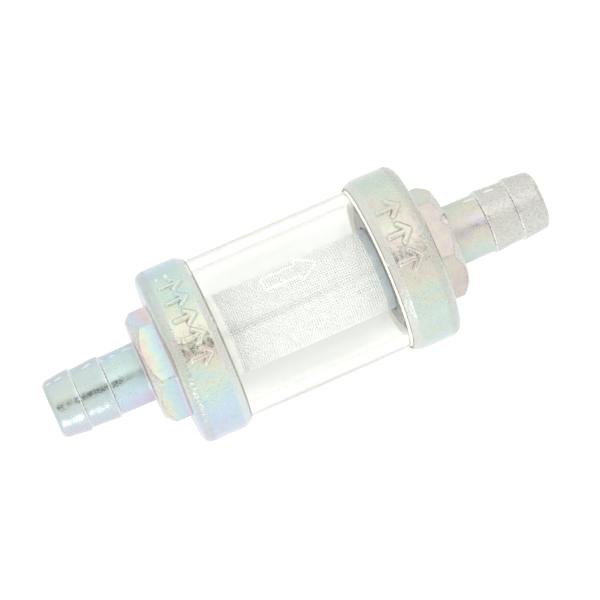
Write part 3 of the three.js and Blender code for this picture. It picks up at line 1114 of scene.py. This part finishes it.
def glass_material():
    """Clear glass, greener where it is seen edge on, with ground bands and end faces. The ground bands glow
    a little: painted light for the element inside.
    """
    t = Tree("bowl_glass")
    place = t.place()
    drawn = t.noise(place, 0.5, detail=1.0, squash=(0.15, 1, 1))
    x = t.axes(place)[0]
    from_middle = t.size(x)
    band_start = t.span(from_middle, BAND_START - 0.05, BAND_START + 0.05)
    band = t.times(band_start, t.span(from_middle, BAND_END + 0.1, BAND_END))
    ground = t.most(band, t.span(from_middle, GLASS_END - 0.15, GLASS_END - 0.05))
    end_colour = t.mix(t.span(x, -1, 1), colour(176, 174, 150), colour(244, 243, 232))
    # Painted light: the ground bands glow, most where they are hidden in the inlet cap, to light the
    # element.
    inlet_glow = t.times(band, t.span(x, -MOUTH - 0.2, -MOUTH - 0.1, 0.5, 0.0))
    outlet_glow = t.times(band, t.span(x, -1, 1, 0.0, 0.3))
    edge_on = t.add("ShaderNodeLayerWeight", {"Blend": 0.5}, output=1)
    clear = t.mix(t.span(edge_on, 0.45, 0.95), colour(250, 251, 249), colour(160, 160, 134))
    t.set(
        Base_Color=t.mix(ground, clear, end_colour),
        Roughness=t.times_plus(ground, 0.5, t.span(drawn, 0.3, 0.8, 0.0, 0.015)),
        IOR=1.5,
        Normal=t.bump(drawn, 0.02, 0.3),
        Transmission_Weight=t.minus(1.0, ground),
        Emission_Color=colour(242, 241, 234),
        Emission_Strength=t.plus(outlet_glow, inlet_glow),
    )
    return t.material


def arrow_material():
    t = Tree("arrow_enamel")
    speckle = t.noise(t.place(), 4.0)
    t.set(
        Base_Color=t.ramp(speckle, [(0.3, colour(228, 230, 226)), (0.7, colour(243, 244, 241))]),
        Roughness=0.5,
    )
    return t.material


def nylon_material(name, light, dark, roughness=0.45, painted_glow=0.0):
    """Moulded nylon. Its emission is a painted glow, standing in for light that comes through it from the
    other side.
    """
    t = Tree(name)
    place = t.place()
    clouds = t.noise(place, 0.6, detail=3.0)
    specks = t.noise(place, 4.0, detail=2.0, shift=4)
    base = t.ramp(clouds, [(0.3, dark), (0.7, light)])
    t.set(
        Base_Color=base,
        Roughness=t.span(specks, 0.3, 0.7, roughness - 0.08, roughness + 0.08),
        Normal=t.bump(specks, 0.02, 0.3),
        # Painted light: a faint glow that stands in for light coming through the nylon.
        Emission_Color=light,
        Emission_Strength=painted_glow,
    )
    return t


def cage_material():
    t = nylon_material("cage_nylon", colour(252, 252, 250), colour(244, 245, 242), painted_glow=0.16)
    return t.material


def gauze_material():
    t = nylon_material("gauze_nylon", colour(254, 254, 253), colour(249, 250, 248), 0.5, painted_glow=0.03)
    return t.material


def collar_material():
    t = nylon_material("collar_nylon", colour(234, 243, 247), colour(204, 219, 228), 0.35)
    t.set(Transmission_Weight=0.25, IOR=1.5)
    return t.material


def rubber_material():
    t = Tree("gasket_rubber")
    place = t.place()
    dust = t.noise(place, 1.5, detail=4.0)
    t.set(
        Base_Color=t.ramp(dust, [(0.4, colour(206, 203, 186)), (0.8, colour(190, 188, 172))]),
        Roughness=t.span(dust, 0.3, 0.7, 0.55, 0.8),
        Normal=t.bump(dust, 0.04, 0.4),
    )
    return t.material


def steel_material():
    """Turned steel: fine rings round the axis."""
    t = Tree("stud_steel")
    place = t.place()
    rings = t.noise(place, 6.0, detail=2.0, squash=(1, 0.02, 0.02))
    stain = t.noise(place, 0.7, detail=3.0, shift=2)
    t.set(
        Base_Color=t.ramp(stain, [(0.3, metal(206, 207, 208)), (0.7, metal(222, 223, 222))]),
        Metallic=1.0,
        Roughness=t.span(stain, 0.3, 0.7, 0.25, 0.4),
        Normal=t.bump(rings, 0.03, 0.3),
    )
    return t.material


# ---- Light and floor ----


FLOOR_HALF = 1500          # half the width of the floor
FLOOR_CLEARANCE = 0.06     # below the CAD's lowest point, and just clear of the visual rims


def make_floor():
    """White paper that glows, less in an oval round the filter so that a soft shadow shows there."""
    t = Tree("floor_paper")
    place = t.place()
    fibre = t.noise(place, 0.05, detail=4.0)
    x, y, _ = t.axes(place)
    lengthwise = t.times(x, 0.55)
    across = t.minus(y, 2.7)
    distance = t.math("SQRT", t.plus(t.times(lengthwise, lengthwise), t.times(across, across)))
    clear = t.span(distance, 9.5, 16)
    shaded = t.span(y, -8, 14, 0.47, 0.5)
    bright = t.span(y, -25, 25, 0.86, 0.64)
    glow = t.times_plus(t.minus(bright, shaded), clear, shaded)
    t.set(
        Base_Color=t.ramp(fibre, [(0.3, (0.44, 0.44, 0.44, 1)), (0.7, (0.46, 0.46, 0.46, 1))]),
        Roughness=0.9,
        Emission_Color=(1, 1, 1, 1),
        Emission_Strength=glow,
    )
    mesh = bpy.data.meshes.new("floor")
    half = FLOOR_HALF * MM
    z = CAD_BOX[0][2] - FLOOR_CLEARANCE * MM
    corners = [(-half, -half, z), (half, -half, z), (half, half, z), (-half, half, z)]
    mesh.from_pydata(corners, [], [(0, 1, 2, 3)])
    mesh.materials.append(t.material)
    linked(bpy.data.objects.new("floor", mesh))


def make_world(towards_camera):
    """A white room that is darker at its two ends, with a small dark patch where the camera stands."""
    world = bpy.data.worlds.new("room")
    bpy.context.scene.world = world
    world.use_nodes = True
    tree = world.node_tree
    direction = tree.nodes.new("ShaderNodeTexCoord").outputs["Generated"]

    def node(kind, operation, *inputs):
        made = tree.nodes.new(kind)
        made.operation = operation
        for i, value in enumerate(inputs):
            if isinstance(value, bpy.types.NodeSocket):
                tree.links.new(value, made.inputs[i])
            else:
                made.inputs[i].default_value = value
        return made

    def fall(value, start, end, low, high):
        made = tree.nodes.new("ShaderNodeMapRange")
        made.interpolation_type = "SMOOTHSTEP"
        tree.links.new(value, made.inputs["Value"])
        for name, number in (("From Min", start), ("From Max", end), ("To Min", low), ("To Max", high)):
            made.inputs[name].default_value = number
        return made.outputs["Result"]

    towards = node("ShaderNodeVectorMath", "DOT_PRODUCT", direction, towards_camera).outputs["Value"]
    patch = fall(towards, math.cos(math.radians(12.6)), math.cos(math.radians(8)), 1.0, 0.0)
    sideways = node("ShaderNodeVectorMath", "DOT_PRODUCT", direction, Vector((1, 0, 0))).outputs["Value"]
    end_share = node("ShaderNodeMath", "ABSOLUTE", sideways).outputs[0]
    ends = fall(end_share, 0.5, 0.9, ROOM_LIGHT, ROOM_LIGHT * 0.85)
    strength = node("ShaderNodeMath", "MULTIPLY", patch, ends).outputs[0]
    tree.links.new(strength, tree.nodes["Background"].inputs["Strength"])
    tree.nodes["Background"].inputs["Color"].default_value = (1, 1, 1, 1)


def make_light(name, azimuth, elevation, distance, size, power):
    """A square soft light that points at the filter."""
    data = bpy.data.lights.new(name, "AREA")
    data.shape = "SQUARE"
    data.size = size
    data.energy = power
    light = linked(bpy.data.objects.new(name, data))
    towards = direction(azimuth, elevation)
    light.location = towards * distance
    light.rotation_euler = towards.to_track_quat("Z", "Y").to_euler()


# ---- Assembly ----

INLET_MARKS = dict(marks=5, centre_along=3.25, pitch=2.74, length=2.7, width=1.8, stroke=0.4)
OUTLET_MARKS = dict(marks=3, centre_along=3.1, pitch=3.7, length=2.8, width=2.5, stroke=0.5)


def place_piece(piece, body, node):
    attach(piece, body)
    if node:
        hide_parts(node)


def build():
    inlet_zinc = zinc_material("inlet_zinc", INLET_FINISH)
    outlet_zinc = zinc_material("outlet_zinc", OUTLET_FINISH)
    nylon = cage_material()
    rubber = rubber_material()

    inlet_marks = (FACING - math.radians(20), math.radians(36), INLET_MARKS)
    outlet_marks = (FACING - math.radians(14.5), math.radians(30), OUTLET_MARKS)
    inlet = make_cap("inlet_cap_casting", -1, inlet_marks, inlet_zinc, 3.1)
    outlet = make_cap("outlet_cap_casting", 1, outlet_marks, outlet_zinc, 8.7)
    place_piece(inlet, "inlet_end", "inlet_cap")
    place_piece(outlet, "outlet_end", "outlet_cap")

    place_piece(make_glass(glass_material()), "core", "glass_tube")
    place_piece(make_arrow(arrow_material()), "core", None)
    inlet_gasket = make_gasket("inlet_gasket_ring", "inlet_gasket", rubber)
    outlet_gasket = make_gasket("outlet_gasket_ring", "outlet_gasket", rubber)
    place_piece(inlet_gasket, "inlet_seal", "inlet_gasket")
    place_piece(outlet_gasket, "outlet_seal", "outlet_gasket")

    place_piece(make_stud(steel_material()), "core", "tie_stud")
    for piece in make_gauze(gauze_material()):
        place_piece(piece, "core", "element_gauze")
    place_piece(make_cage(nylon), "core", "element_cage")
    plug, collar, washer = make_end_pieces(nylon, collar_material(), rubber)
    place_piece(plug, "core", "element_inlet_plug")
    place_piece(collar, "core", "element_outlet_collar")
    place_piece(washer, "core", "element_washer")


towards_camera = make_camera()
make_floor()
make_world(towards_camera)
make_light("front_softbox", math.radians(-20), math.radians(12), 0.6, 0.12, 0.25)
make_light("top_softbox", math.radians(135), math.radians(68), 0.6, 0.4, 0.17)
build()
bpy.context.scene.view_settings.view_transform = "Standard"
